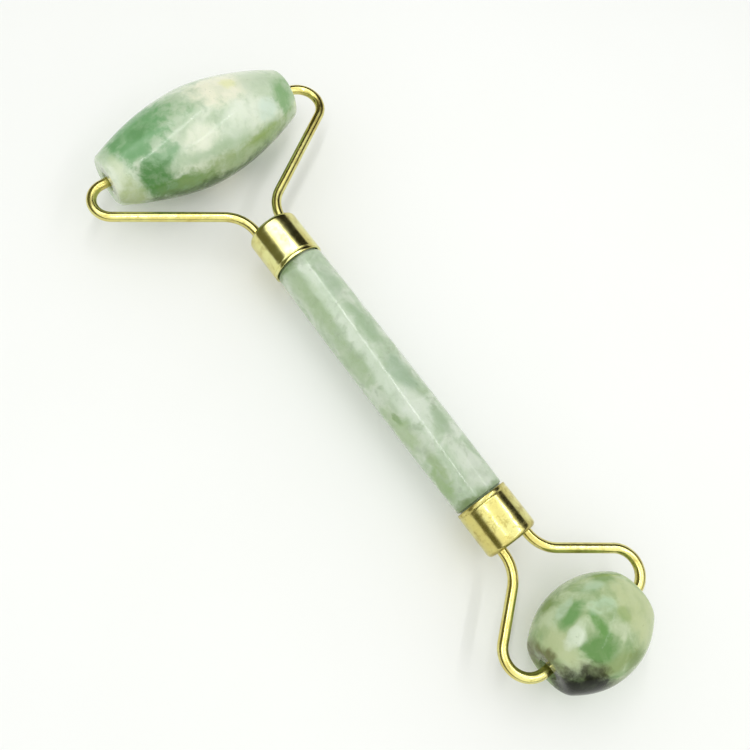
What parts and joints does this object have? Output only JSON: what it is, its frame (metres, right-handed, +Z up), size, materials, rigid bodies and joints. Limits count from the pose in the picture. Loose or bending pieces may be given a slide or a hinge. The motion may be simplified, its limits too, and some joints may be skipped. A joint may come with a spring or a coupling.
{
  "type": "jade face roller",
  "caption": "Slim stone handle with a brass ferrule and a bent wire fork at each end, carrying a long and a short free-turning stone roller.",
  "frame": {"origin": "centre of the part's footprint, on the surface that its two rollers lie on", "axes": "+X along the part from the large roller to the small one, +Y along both roller axles, +Z up off the surface"},
  "size_m": [0.1504, 0.0578, 0.0214],
  "materials": {
    "handle_jade": "polished pale grey-green jade, softly clouded",
    "large_roller_jade": "polished jade, pale with white clouds and mid-green patches",
    "small_roller_jade": "polished jade, mottled green with cream and one grey-black patch",
    "polished_brass": "polished, lightly tarnished",
    "brass_wire": "polished",
    "dark_nylon": "dark, matt",
    "cured_resin": "amber, dull"
  },
  "bodies": {
    "handle": {"handle_rod": "handle_jade", "large_end_ferrule": "polished_brass", "small_end_ferrule": "polished_brass", "large_fork_wire": "brass_wire", "small_fork_wire": "brass_wire", "large_end_resin_plug": "cured_resin", "small_end_resin_plug": "cured_resin"},
    "large_roller": {"large_roller_stone": "large_roller_jade", "large_roller_bush_left": "dark_nylon", "large_roller_bush_right": "dark_nylon"},
    "small_roller": {"small_roller_stone": "small_roller_jade", "small_roller_bush_left": "dark_nylon", "small_roller_bush_right": "dark_nylon"}
  },
  "joints": [
    {"name": "large_roller_spin", "type": "hinge", "parent": "handle", "child": "large_roller", "pos_m": [-0.06447, 0, 0.0107], "axis": [0, 1, 0], "continuous": true},
    {"name": "small_roller_spin", "type": "hinge", "parent": "handle", "child": "small_roller", "pos_m": [0.06527, 0.00115, 0.0099], "axis": [0, 1, 0], "continuous": true}
  ]
}
